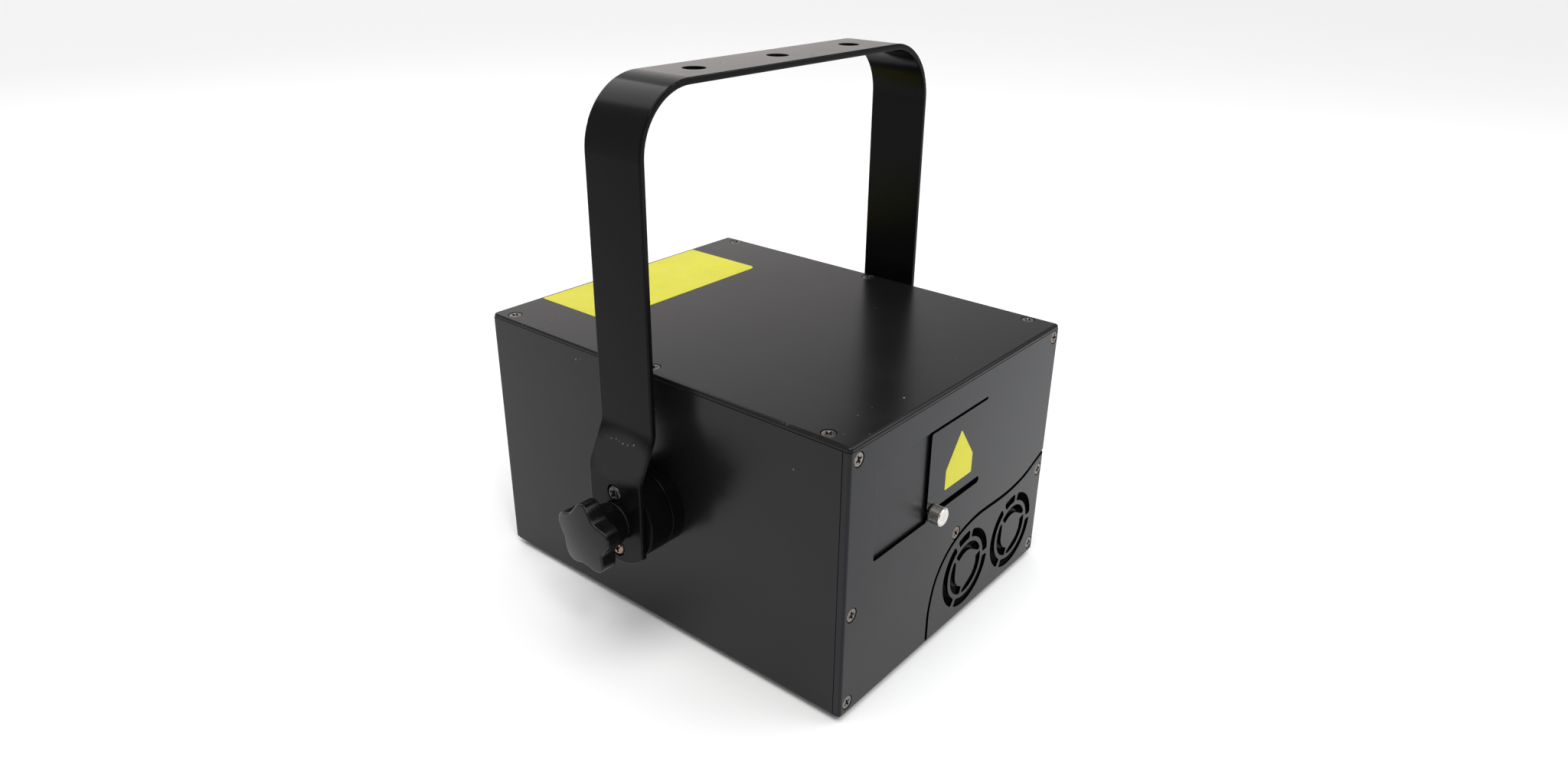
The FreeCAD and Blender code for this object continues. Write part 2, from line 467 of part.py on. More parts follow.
feet = []
for x, y in foot_xy:
    f = Part.makeCone(8.0, 9.0, FOOT_H, V(x, y, 0))
    f = fillet(f, 0.8, lambda e: abs(e.Vertexes[0].Point.z) < 1e-6 and isinstance(e.Curve, Part.Circle))
    feet.append(fuse([f, cyl((x, y, FOOT_H), (0, 0, 1), 2.5, T), cyl((x, y, FOOT_H + T), (0, 0, 1), 4.0, 1.2)]))
out("rubber_feet", feet)

# ---------------------------------------------------------------- pivots
DISC_IN = 10.0                                # thickness of the disc on the case
xi, xo = -X1, -X1 - DISC_IN
disc = cyl((xo + 0.15, 0, ZP), (1, 0, 0), DISC_R, DISC_IN - 0.15)
disc = fillet(disc, 0.8, lambda e: isinstance(e.Curve, Part.Circle) and abs(e.Vertexes[0].Point.x - xo - 0.15) < 0.01)
disc = cut(disc, cyl((xo - 1, 0, ZP), (1, 0, 0), 4.3, 20), cyl((-124.5, 0, ZP), (1, 0, 0), 6.05, 20))
out("pivot_disc_left", disc)
out("pivot_disc_right", mirror(disc))
nut = fuse([cyl((-124.3, 0, ZP), (1, 0, 0), 6.0, 124.3 - X1 + T), cyl((-X1 + T, 0, ZP), (1, 0, 0), 14.0, 3.0)])
nut = cut(nut, cyl((-130, 0, ZP), (1, 0, 0), STUD_R + 0.05, 30))
out("pivot_nuts", [nut, mirror(nut)])

arm_in = -YOKE_LOW + YOKE_T                  # inner face of the lower arm
fd = cyl((arm_in, 0, ZP), (1, 0, 0), DISC_R, xo - 0.15 - arm_in)
fd = fillet(fd, 0.8, lambda e: isinstance(e.Curve, Part.Circle))
fd = cut(fd, cyl((arm_in - 1, 0, ZP), (1, 0, 0), 4.3, 40))
fd = cut(fd, *[cyl((arm_in - 1, 0, ZP + s * 19), (1, 0, 0), 2.5, 12.5) for s in (-1, 1)])
out("friction_disc_left", fd)
out("friction_disc_right", mirror(fd))

# ---------------------------------------------------------------- yoke: bent flat bar


def strip(points, radii, t):
    """Outline in x, z of a strip of thickness t bent along points with centre-line radii."""
    segs = []
    n = len(points)
    P = [V(p[0], 0, p[1]) for p in points]
    prev = P[0]
    for i in range(1, n - 1):
        a = (P[i - 1] - P[i]).normalize()
        b = (P[i + 1] - P[i]).normalize()
        ang = math.acos(max(-1, min(1, a.dot(b))))
        d = radii[i - 1] / math.tan(ang / 2)
        p0, p1 = P[i] + a * d, P[i] + b * d
        bis = (a + b).normalize()
        c = P[i] + bis * (radii[i - 1] / math.sin(ang / 2))
        m = c - bis * radii[i - 1]
        segs.append(("L", prev, p0))
        segs.append(("A", p0, m, p1, c, radii[i - 1]))
        prev = p1
    segs.append(("L", prev, P[-1]))

    def side(k):
        edges = []
        for s in segs:
            if s[0] == "L":
                d = (s[2] - s[1]).normalize()
                nrm = V(-d.z, 0, d.x)
                edges.append([s[1] + nrm * (k * t / 2), None, s[2] + nrm * (k * t / 2)])
            else:
                _, p0, m, p1, c, r = s
                d = V(-(p0 - c).z, 0, (p0 - c).x)
                sgn = 1 if d.dot(p1 - p0) > 0 else -1
                rr = r - sgn * k * t / 2
                f = rr / r
                edges.append([c + (p0 - c) * f, c + (m - c) * f, c + (p1 - c) * f])
        return edges
    left, right = side(1), side(-1)
    wires = []
    for a, m, b in left:
        wires.append(line(a, b) if m is None else Part.Arc(a, m, b).toShape())
    wires.append(line(left[-1][2], right[-1][2]))
    for a, m, b in reversed(right):
        wires.append(line(b, a) if m is None else Part.Arc(b, m, a).toShape())
    wires.append(line(right[0][0], left[0][0]))
    return Part.Wire(wires)


ht = YOKE_T / 2
xl, xu, zt = YOKE_LOW - ht, YOKE_UP - ht, ZB + YOKE_TOP - ht
path = [(-xl, ZP - YOKE_END_R), (-xl, ZB + JOG_LO), (-xu, ZB + JOG_HI), (-xu, zt), (xu, zt), (xu, ZB + JOG_HI), (xl, ZB + JOG_LO), (xl, ZP - YOKE_END_R)]
rad = [14.0, 14.0, YOKE_R - ht, YOKE_R - ht, 14.0, 14.0]
face = Part.Face(strip(path, rad, YOKE_T))
face.translate(V(0, -YOKE_W / 2, 0))
yoke = face.extrude(V(0, YOKE_W, 0))
for s in (-1, 1):
    cap = box(min(s * 157, s * 138), max(s * 157, s * 138), -40, 40, ZP - 60, ZP)
    cap = cap.cut(cyl((-160, 0, ZP), (1, 0, 0), YOKE_END_R, 320))
    yoke = yoke.cut(cap)
yoke = fillet(yoke, YOKE_EDGE, lambda e: both(e, (None, -YOKE_W / 2, None)) or both(e, (None, YOKE_W / 2, None))
              or (isinstance(e.Curve, Part.Circle) and abs(e.Curve.Radius - YOKE_END_R) < 0.01))
yoke = cut(yoke, *[cyl((sx * HOLE_X, 0, ZB + YOKE_TOP - 10), (0, 0, 1), HOLE_R, 20) for sx in (-1, 0, 1)])
yoke = cut(yoke, cyl((-160, 0, ZP), (1, 0, 0), 4.3, 40), cyl((120, 0, ZP), (1, 0, 0), 4.3, 40))
yoke = cut(yoke, *[cyl((a, 0, ZP + s * 19), (1, 0, 0), 2.75, 40) for s in (-1, 1) for a in (-160, 120)])
yoke = cut(yoke, *[cyl((sx * (YOKE_LOW - SINK), 0, ZP + s * 19), (sx, 0, 0), 6.2, 6) for s in (-1, 1) for sx in (-1, 1)])
out("yoke_bracket", yoke)

m5 = pan_screw(4.9, 2.6, 2.45, 12.0)
out("disc_screws", [place(m5, (sx * (YOKE_LOW - SINK), 0, ZP + s * 19), (sx, 0, 0), 25 + 40 * i)
                    for i, (sx, s) in enumerate([(a, b) for a in (-1, 1) for b in (-1, 1)])])

WASHER_T = 1.6
wx = -YOKE_LOW - 0.3
washer = cyl((wx - WASHER_T, 0, ZP), (1, 0, 0), 12.0, WASHER_T).cut(cyl((wx - 5, 0, ZP), (1, 0, 0), 4.3, 10))
out("knob_washer_left", washer)
out("knob_washer_right", mirror(washer))

hub_x = wx - WASHER_T - 0.3
HEAD_T = 13.0
DOME_R = 110.0                                # slight dome of the knob's face


def lobes(x, scale=1.0, n=60):
    pts = []
    for i in range(n):
        a = 2 * math.pi * i / n
        r = 20.1 + 2.8 * math.cos(5 * (a - math.radians(18))) + 0.1 * math.cos(10 * (a - math.radians(18)))
        r = min(r, KNOB_R) * scale
        pts.append(V(x, r * math.cos(a), ZP + r * math.sin(a)))
    c = Part.BSplineCurve()
    c.interpolate(pts, PeriodicFlag=True)
    return Part.Wire([c.toShape()])


head = Part.Face(lobes(-KNOB_OUT - 2)).extrude(V(HEAD_T + 2, 0, 0))
dome = Part.makeSphere(DOME_R, V(-KNOB_OUT + DOME_R, 0, ZP))
head = head.common(dome)
head = fillet(head, 1.3, lambda e: e.BoundBox.XMax < -KNOB_OUT + 5)
head = fillet(head, 0.9, lambda e: e.BoundBox.XMin > -KNOB_OUT + HEAD_T - 0.01)
knob = fuse([head, Part.makeCone(15.5, 13.0, -hub_x * -1 + KNOB_OUT - HEAD_T, V(-KNOB_OUT + HEAD_T, 0, ZP), V(1, 0, 0)),
             cyl((hub_x, 0, ZP), (1, 0, 0), STUD_R, -hub_x - 112.0)])
out("knob_left", knob)
out("knob_right", mirror(knob))

# ---------------------------------------------------------------- shutter and aperture
sy = -Y1 + T_FRONT + 0.4
plate = box(fx(24), fx(93), sy, sy + T, fz(88), fz(158))
plate = fuse([plate, box(fx(76.3), fx(80.3), -Y1 + 1.0, sy + T, fz(153.9), fz(155.1))])
plate = fuse([plate, cyl((fx(THUMB[0]), sy + T, fz(THUMB[1])), (0, 1, 0), 3.9, 1.5)])
plate = cut(plate, cyl((fx(THUMB[0]), sy - 1, fz(THUMB[1])), (0, 1, 0), 2.05, 8))
out("shutter_plate", plate)
ty = -Y1 - PROUD
kn = []
TEETH = 40
for i in range(4 * TEETH):
    a = 2 * math.pi * i / (4 * TEETH)
    r = (6.0, 6.0, 5.62, 5.62)[i % 4]
    kn.append((fx(THUMB[0]) + r * math.cos(a), fz(THUMB[1]) + r * math.sin(a)))
grip = prism_xz(kn, ty + 0.6, -Y1 - 0.9)
thumb = fuse([grip, Part.makeCone(5.15, 5.6, 0.7, V(fx(THUMB[0]), ty, fz(THUMB[1])), V(0, 1, 0)),
              Part.makeCone(5.6, 5.2, 0.6, V(fx(THUMB[0]), -Y1 - 1.0, fz(THUMB[1])), V(0, 1, 0)),
              cyl((fx(THUMB[0]), -Y1 - 1, fz(THUMB[1])), (0, 1, 0), 2.0, 8.2)])
out("shutter_thumb_screw", thumb)
r0, r1 = fx(20), fx(150)
iy = -Y1 + T_FRONT
rail_t = fuse([box(r0, r1, iy, sy + T + 1.9, fz(158.4), fz(163.5)), box(r0, r1, sy + T + 0.4, sy + T + 1.9, fz(156.2), fz(158.4))])
rail_b = fuse([box(r0, r1, iy, sy + T + 1.9, fz(82.5), fz(87.6)), box(r0, r1, sy + T + 0.4, sy + T + 1.9, fz(87.6), fz(89.8))])
out("shutter_rails", [rail_t, rail_b])
ay = sy + T + 1.9
frame = box(fx(20), fx(79), ay, ay + T, fz(82.5), fz(163.5))
frame = cut(frame, fillet(box(fx(28), fx(72), ay - 1, ay + 4, fz(102), fz(146)), 3.0, lambda e: along(e, (0, 1, 0))))
out("aperture_frame", frame)
out("aperture_glass", box(fx(25), fx(75), ay + T, ay + T + 3.0, fz(99), fz(149)))

# ---------------------------------------------------------------- fans
frames, screws = [], []
FD = 25.0
m4l = pan_screw(3.6, 2.2, 2.0, FD - 0.2)
for i, (u, w) in enumerate(FANS):
    cx, cz = fx(u), fz(w)
    y0 = fy + T_FRONT
    f = fillet(box(cx - 30, cx + 30, y0, y0 + FD, cz - 30, cz + 30), 3.0, lambda e: along(e, (0, 1, 0)))
    f = cut(f, cyl((cx, y0 - 1, cz), (0, 1, 0), 28.6, FD + 2))
    f = cut(f, *[cyl((cx + a * 25, y0 - 1, cz + b * 25), (0, 1, 0), 2.15, FD + 2) for a in (-1, 1) for b in (-1, 1)])
    mount = cyl((cx, y0 + FD - 2.5, cz), (0, 1, 0), 16.0, 2.5)
    struts = [turn(box(cx + 12, cx + 29, y0 + FD - 2.5, y0 + FD, cz - 2, cz + 2), (cx, 0, cz), (0, 1, 0), a) for a in (30, 150, 270)]
    f = fuse([f, mount] + struts)
    f = cut(f, cyl((cx, y0 + FD - 6, cz), (0, 1, 0), 1.55, 10))
    frames.append(f)
    screws += [place(m4l, (cx + a * 25, y0 + FD, cz + b * 25), (0, 1, 0), 15 * a + 40 * b) for a in (-1, 1) for b in (-1, 1)]
    hub = cyl((cx, y0 + 1.0, cz), (0, 1, 0), 15.5, FD - 4.0)
    hub = fillet(hub, 1.5, lambda e: isinstance(e.Curve, Part.Circle) and abs(e.Vertexes[0].Point.y - y0 - 1.0) < 0.01)
    blades = []
    for k in range(7):
        b = box(cx + 14.5, cx + 29, y0 + 11.5 - 0.7, y0 + 11.5 + 0.7, cz - 9, cz + 9)
        b = turn(b, (cx, y0 + 11.5, cz), (1, 0, 0), 42)
        blades.append(turn(b, (cx, 0, cz), (0, 1, 0), 360.0 * k / 7 + 11 * i))
    lim = cyl((cx, y0 + 1.5, cz), (0, 1, 0), 27.9, FD - 5.0)
    rotor = fuse([hub] + [b.common(lim) for b in blades] + [cyl((cx, y0 + 10, cz), (0, 1, 0), 1.5, FD - 10.3)])
    out("fan_rotor_%s" % ("left", "right")[i], rotor)
out("fan_frames", frames)
out("fan_screws", screws)

# ---------------------------------------------------------------- optics deck
OB = 54.0
deck = box(-100, 100, -112, 48, OB, OB + 6)
stand = [(sx * 93.0, y) for sx in (-1, 1) for y in (-105.0, 41.0)]
deck = cut(deck, *[cyl((x, y, OB - 1), (0, 0, 1), 2.05, 10) for x, y in stand])
out("optical_base", deck)
out("optics_standoffs", [fuse([cyl((x, y, ZB + T), (0, 0, 1), 5.0, OB - ZB - T), cyl((x, y, OB), (0, 0, 1), 2.0, 6), cyl((x, y, OB + 6), (0, 0, 1), 3.5, 2.4)])
                         for x, y in stand])
BEAM, YM = 124.0, -100.0
LX = (78.0, 42.0, 6.0)
hs = box(-10, 96, -60, 20, OB + 6, BEAM - 15)
hs = cut(hs, *[box(-11, 97, y, y + 5, OB + 12, BEAM - 22) for y in range(-56, 16, 9)])
out("laser_heat_sink", hs)
for name, lx in zip(("red", "green", "blue"), LX):
    m = box(lx - 14, lx + 14, -58, 14, BEAM - 15, BEAM + 15)
    m = fillet(m, 2.0, lambda e: along(e, (0, 1, 0)))
    m = fuse([m, cyl((lx, -64, BEAM), (0, 1, 0), 6.0, 7)])
    m = cut(m, cyl((lx, -70, BEAM), (0, 1, 0), 2.0, 16))
    out("%s_laser_module" % name, m)
mounts, plates = [], []
for lx in LX:
    p = fuse([cyl((lx, YM, OB + 6), (0, 0, 1), 5.0, BEAM - 10 - OB - 6), cyl((lx, YM, BEAM - 12), (0, 0, 1), 9.0, 4)])
    mounts.append(p)
    plates.append(turn(box(lx - 9, lx + 9, YM - 1, YM + 1, BEAM - 8, BEAM + 8), (lx, YM, BEAM), (0, 0, 1), 45))
out("mirror_mounts", mounts)
out("combining_mirrors", plates)

GX, G2 = -68.0, BEAM + 14.0
blk = fuse([box(GX - 16, GX + 42, -112, -62, OB + 6, BEAM - 16), box(GX - 14, GX + 14, -90, -64, BEAM - 16, BEAM + 16),
            box(GX - 14, GX + 40, -90, -84, BEAM - 16, BEAM + 26), box(GX + 16, GX + 38, -112, -84, BEAM + 4, BEAM + 26)])
blk = cut(blk, cyl((GX, -120, BEAM), (0, 1, 0), 8.05, 80), cyl((GX + 8, YM, G2), (1, 0, 0), 8.05, 60))
blk = cut(blk, box(GX - 30, GX + 60, -99.0 - 4, -97.0, BEAM - 3, BEAM + 3))
out("galvo_block", blk)
m1 = cut(cyl((GX, -92, BEAM), (0, 1, 0), 8.0, 36), cyl((GX, -93, BEAM), (0, 1, 0), 1.55, 14))
m2 = cut(cyl((GX + 10, YM, G2), (1, 0, 0), 8.0, 36), cyl((GX + 9, YM, G2), (1, 0, 0), 1.55, 14))
out("galvo_motors", [m1, m2])
g1 = fuse([cyl((GX, -97, BEAM), (0, 1, 0), 1.5, 17), cyl((GX, -97, BEAM), (0, 1, 0), 2.4, 3)])
pl = turn(box(GX - 0.6, GX + 0.6, -106, -95.5, BEAM - 5, BEAM + 5), (GX, 0, BEAM), (0, 1, 0), -45)
out("galvo_mirror_x", fuse([g1, pl]))
g2 = fuse([cyl((GX + 5, YM, G2), (1, 0, 0), 1.5, 17), cyl((GX + 5, YM, G2), (1, 0, 0), 2.4, 3)])
pl = turn(box(GX - 8, GX + 6.5, YM - 0.6, YM + 0.6, G2 - 5, G2 + 5), (0, YM, G2), (1, 0, 0), 45)
out("galvo_mirror_y", fuse([g2, pl]))
drv = []
for y in (2.0, 28.0):
    drv.append(fuse([box(-98, -28, y, y + 1.6, OB + 8, OB + 58), box(-98, -28, y - 8, y + 1.6, OB + 6, OB + 9),
                     box(-90, -60, y + 1.6, y + 9, OB + 14, OB + 52), cyl((-45, y + 1.6, OB + 34), (0, 1, 0), 6, 12)]))
out("galvo_driver_boards", drv)
psu = box(-15, 84, -95, 64, ZB + T, ZB + T + 38)
psu = cut(psu, box(-16, 85, 46, 66, ZB + T + 14, ZB + T + 40))
psu = fuse([psu] + [box(-10 + 13 * i, -1 + 13 * i, 47, 60, ZB + T + 14, ZB + T + 24) for i in range(7)])
out("power_supply", psu)
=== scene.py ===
import math
import bpy, bmesh
from mathutils import Matrix, Vector


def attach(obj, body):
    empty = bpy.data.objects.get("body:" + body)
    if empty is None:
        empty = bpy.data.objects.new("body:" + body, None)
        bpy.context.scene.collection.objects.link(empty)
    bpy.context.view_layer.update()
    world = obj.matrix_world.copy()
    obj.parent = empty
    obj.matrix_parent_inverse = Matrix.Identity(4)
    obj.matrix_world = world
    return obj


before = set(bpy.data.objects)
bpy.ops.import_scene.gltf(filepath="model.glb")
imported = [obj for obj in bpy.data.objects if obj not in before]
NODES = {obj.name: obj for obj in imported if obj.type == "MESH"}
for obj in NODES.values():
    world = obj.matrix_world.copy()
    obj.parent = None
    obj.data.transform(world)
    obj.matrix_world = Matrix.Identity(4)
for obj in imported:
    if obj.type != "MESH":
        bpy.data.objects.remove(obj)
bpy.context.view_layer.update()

MM = 0.001

# ------------------------------------------------------------------ dimensions used again here (mm)
CASE_X, CASE_Y, CASE_TOP = 118.5, 150.5, 183.0
PIVOT_Z = 94.0


def fx(x):
    return x - 118.2


def fz(z):
    return z + 6.2


# ------------------------------------------------------------------ node helper
class Shader:
    """Small builder around one node material with a Principled surface."""

    def __init__(self, name):
        self.m = bpy.data.materials.new(name)
        self.m.use_nodes = True
        self.t = self.m.node_tree
        self.t.nodes.clear()
        self.out = self.t.nodes.new("ShaderNodeOutputMaterial")
        self.p = self.t.nodes.new("ShaderNodeBsdfPrincipled")
        self.t.links.new(self.p.outputs[0], self.out.inputs[0])
        self.co = self.t.nodes.new("ShaderNodeTexCoord").outputs["Object"]

    def put(self, socket, value):
        if isinstance(value, bpy.types.NodeSocket):
            self.t.links.new(value, socket)
        elif value is not None:
            if hasattr(socket.default_value, "__len__") and not hasattr(value, "__len__"):
                value = [value] * len(socket.default_value)
            if hasattr(value, "__len__") and len(value) == 3 and len(socket.default_value) == 4:
                value = list(value) + [1.0]
            socket.default_value = value

    def set(self, **kw):
        for k, v in kw.items():
            self.put(self.p.inputs[k.replace("_", " ")], v)
        return self

    def node(self, kind, props=None, **kw):
        n = self.t.nodes.new(kind)
        for k, v in (props or {}).items():
            setattr(n, k, v)
        for k, v in kw.items():
            self.put(n.inputs[k.replace("_", " ")], v)
        return n

    def noise(self, scale, detail=2.0, rough=0.5, distort=0.0, co=None):
        n = self.node("ShaderNodeTexNoise", None, Scale=scale, Detail=detail, Roughness=rough, Distortion=distort)
        self.t.links.new(co or self.co, n.inputs["Vector"])
        return n.outputs["Fac"]

    def mapping(self, loc=(0, 0, 0), rot=(0, 0, 0), scale=(1, 1, 1), co=None):
        n = self.node("ShaderNodeMapping")
        self.t.links.new(co or self.co, n.inputs["Vector"])
        n.inputs["Location"].default_value = loc
        n.inputs["Rotation"].default_value = rot
        n.inputs["Scale"].default_value = scale
        return n.outputs["Vector"]

    def math(self, op, a, b=None, c=None, clamp=False):
        n = self.t.nodes.new("ShaderNodeMath")
        n.operation = op
        n.use_clamp = clamp
        for i, v in enumerate((a, b, c)):
            if v is not None:
                self.put(n.inputs[i], v)
        return n.outputs[0]

    def vmath(self, op, a, b=None):
        n = self.t.nodes.new("ShaderNodeVectorMath")
        n.operation = op
        self.put(n.inputs[0], a)
        if b is not None:
            self.put(n.inputs[1], b)
        return n.outputs["Value"] if op in ("DOT_PRODUCT", "LENGTH", "DISTANCE") else n.outputs["Vector"]

    def ramp(self, v, lo, hi, out_lo=0.0, out_hi=1.0, smooth=True):
        n = self.node("ShaderNodeMapRange", {"interpolation_type": "SMOOTHSTEP" if smooth else "LINEAR", "clamp": True})
        self.put(n.inputs["Value"], v)
        self.put(n.inputs["From Min"], lo)
        self.put(n.inputs["From Max"], hi)
        self.put(n.inputs["To Min"], out_lo)
        self.put(n.inputs["To Max"], out_hi)
        return n.outputs["Result"]

    def mix(self, fac, a, b):
        n = self.t.nodes.new("ShaderNodeMix")
        n.data_type = "RGBA"
        self.put(n.inputs[0], fac)
        self.put(n.inputs[6], a)
        self.put(n.inputs[7], b)
        return n.outputs[2]

    def xyz(self, co=None):
        n = self.t.nodes.new("ShaderNodeSeparateXYZ")
        self.t.links.new(co or self.co, n.inputs[0])
        return n.outputs

    def specks(self, scale, radius, share, co=None):
        """Sparse round dots: the share of cells that hold one, radius as a part of the cell."""
        v = self.node("ShaderNodeTexVoronoi", {"feature": "F1"}, Scale=scale, Randomness=1.0)
        self.t.links.new(co or self.co, v.inputs["Vector"])
        s = self.t.nodes.new("ShaderNodeSeparateColor")
        self.t.links.new(v.outputs["Color"], s.inputs[0])
        pick = self.math("GREATER_THAN", s.outputs[0], 1.0 - share)
        size = self.math("MULTIPLY", s.outputs[1], radius)
        dot = self.math("LESS_THAN", v.outputs["Distance"], size)
        return self.math("MULTIPLY", pick, dot)

    def ball(self, centre, r0, r1, squeeze=(1, 1, 1)):
        """One near a point (millimetres), falling to zero between r0 and r1; squeeze scales the distance per axis."""
        co = self.co if squeeze == (1, 1, 1) else self.vmath("MULTIPLY", self.co, squeeze)
        d = self.vmath("DISTANCE", co, [c * k * MM for c, k in zip(centre, squeeze)])
        return self.ramp(d, r0 * MM, r1 * MM, 1.0, 0.0)

    def inside(self, lo, hi):
        """One inside a box given in millimetres, open where a limit is None."""
        v = None
        for axis in range(3):
            for op, limit in (("GREATER_THAN", lo[axis]), ("LESS_THAN", hi[axis])):
                if limit is not None:
                    m = self.math(op, self.xyz()[axis], limit * MM)
                    v = m if v is None else self.math("MULTIPLY", v, m)
        return v

    def facing(self, axis, limit=0.5):
        """One where the face's own normal points along the axis."""
        n = self.t.nodes.new("ShaderNodeTexCoord").outputs["Normal"]
        return self.math("GREATER_THAN", self.math("ABSOLUTE", self.xyz(n)[axis]), limit)

    def bevel(self, radius, samples=4):
        n = self.node("ShaderNodeBevel", {"samples": samples})
        n.inputs["Radius"].default_value = radius * MM
        return n.outputs["Normal"]

    def bump(self, height, strength, distance, normal=None):
        n = self.node("ShaderNodeBump", None, Strength=strength, Distance=distance * MM)
        self.put(n.inputs["Height"], height)
        if normal is not None:
            self.t.links.new(normal, n.inputs["Normal"])
        return n.outputs["Normal"]

    def edge(self, normal, lo=0.02, hi=0.25):
        g = self.t.nodes.new("ShaderNodeNewGeometry").outputs["Normal"]
        d = self.math("SUBTRACT", 1.0, self.vmath("DOT_PRODUCT", normal, g))
        return self.ramp(d, lo, hi)

    def cavity(self, distance, samples=6):
        n = self.node("ShaderNodeAmbientOcclusion", {"samples": samples, "only_local": False})
        n.inputs["Distance"].default_value = distance * MM
        return self.math("SUBTRACT", 1.0, n.outputs["AO"])


def sum_of(s, items):
    v = items[0]
    for i in items[1:]:
        v = s.math("ADD", v, i, clamp=True)
    return v


# ------------------------------------------------------------------ materials
def paint(name, dark, light, rough, spec, grain, wear_and_highlight, spots=(), flecks_and_sheen=(), dust=0.002, chip=(0.22, 0.17, 0.13), shaded_cuts=(), tint=None, polish=None):
    """Satin powder coat: fine grain, soft orange peel, handling haze, dust specks, rubbed edges and a painted highlight
    along every edge.
    spots are worn patches, flecks single marks (the yoke's list also holds one broad painted sheen), cuts the sheet
    faces (axis and box) whose opening walls are painted near black as shade."""
    s = Shader(name)
    big = s.noise(9, 3, 0.55)
    haze = s.noise(34, 6, 0.62, 0.8)
    fine = s.noise(grain, 3, 0.6)
    peel = s.noise(grain * 0.22, 2, 0.5)
    nb = s.bevel(0.3)
    colour = s.mix(s.ramp(big, 0.3, 0.7), dark, light)
    grit = s.ramp(fine, 0.56, 0.74)
    colour = s.mix(s.math("MULTIPLY", grit, 0.30), colour, [c * 1.5 for c in light])
    # pale dust and a few chips to the metal
    dots = s.specks(120, 0.045, dust)
    marks = [s.math("MULTIPLY", dots, 0.55)]
    for centre, r0, r1, scale, amount in spots:
        patch = s.math("MULTIPLY", s.ball(centre, r0, r1), s.ramp(s.noise(scale, 4, 0.7), 0.57, 0.66))
        marks.append(s.math("MULTIPLY", patch, amount))
    rub_and_highlight = s.edge(nb)
    rubbed = s.math("MULTIPLY", rub_and_highlight, s.ramp(s.noise(260, 4, 0.65), 0.50, 0.68))
    # painted highlight: a pale band along every edge, then rubbed wear in noisy patches along the same edges
    colour = s.mix(s.math("MULTIPLY", rub_and_highlight, wear_and_highlight), colour, (0.085, 0.088, 0.094))
    colour = s.mix(s.math("MULTIPLY", rubbed, wear_and_highlight), colour, (0.19, 0.17, 0.155))
    mark = sum_of(s, marks)
    colour = s.mix(mark, colour, chip)
    r = s.ramp(haze, 0.32, 0.72, rough - 0.015, rough + 0.02)
    r = s.math("ADD", r, s.math("MULTIPLY", mark, 0.2), clamp=True)
    # flecks: single marks; on the yoke the first one is a broad painted sheen
    for centre, radius, tone, squeeze in flecks_and_sheen:
        m = s.ball(centre, radius * 0.55, radius, squeeze)
        colour = s.mix(m, colour, tone)
        r = s.math("ADD", r, s.math("MULTIPLY", m, 0.25), clamp=True)
    if polish:
        # smoother from height z0 to z1
        z0, z1, less = polish
        r = s.math("SUBTRACT", r, s.ramp(s.xyz()[2], z0 * MM, z1 * MM, 0.0, less))
    wall = None
    for axis, lo, hi in shaded_cuts:
        # painted shade: the sheared walls of the openings are coloured near black, as hardly any light gets in
        one = s.math("MULTIPLY", s.math("SUBTRACT", 1.0, s.facing(axis, 0.8)), s.inside(lo, hi))
        wall = s.math("MAXIMUM", wall, one) if wall else one
    if wall:
        colour = s.mix(wall, colour, (0.0007, 0.0007, 0.0007))
        r = s.math("ADD", r, s.math("MULTIPLY", wall, 0.55), clamp=True)
    n = s.bump(peel, 0.07, 0.05, nb)
    n = s.bump(fine, 0.12, 0.03, n)
    s.set(Base_Color=colour, Roughness=r, Normal=n)
    if wall:
        s.set(Metallic=wall)
    # painted light: the tint colours the reflections, a cooler cast standing in for the light in front
    if tint:
        s.p.inputs["Specular Tint"].default_value = (*tint, 1.0)
    s.p.inputs["Specular IOR Level"].default_value = spec
    return s.m


def plastic(name, dark, light, rough, spec, grain=1400, strength=0.12, bevel=0.35, scratch=0.0):
    """Moulded plastic: faint spark-eroded grain, soft edges with a painted highlight along them, and some handling
    haze.
    """
    s = Shader(name)
    nb = s.bevel(bevel)
    cloud = s.noise(40, 4, 0.6)
    fine = s.noise(grain, 2, 0.5)
    colour = s.mix(s.ramp(cloud, 0.35, 0.7), dark, light)
    r = s.ramp(s.noise(70, 5, 0.65, 0.5), 0.3, 0.75, rough - 0.04, rough + 0.07)
    if scratch:
        line = s.noise(520, 2, 0.5, 0.0, s.mapping(rot=(0.5, 0.3, 0.9), scale=(1.0, 0.06, 1.0)))
        cut = s.ramp(line, 0.66, 0.72)
        colour = s.mix(s.math("MULTIPLY", cut, scratch), colour, (0.10, 0.10, 0.10))
        r = s.math("ADD", r, s.math("MULTIPLY", cut, 0.15), clamp=True)
    # painted highlight: a paler band along every edge
    edge = s.edge(nb, 0.03, 0.3)
    colour = s.mix(s.math("MULTIPLY", edge, 0.25), colour, (0.06, 0.06, 0.062))
    s.set(Base_Color=colour, Roughness=r, Normal=s.bump(fine, strength, 0.03, nb))
    s.p.inputs["Specular IOR Level"].default_value = spec
    return s.m


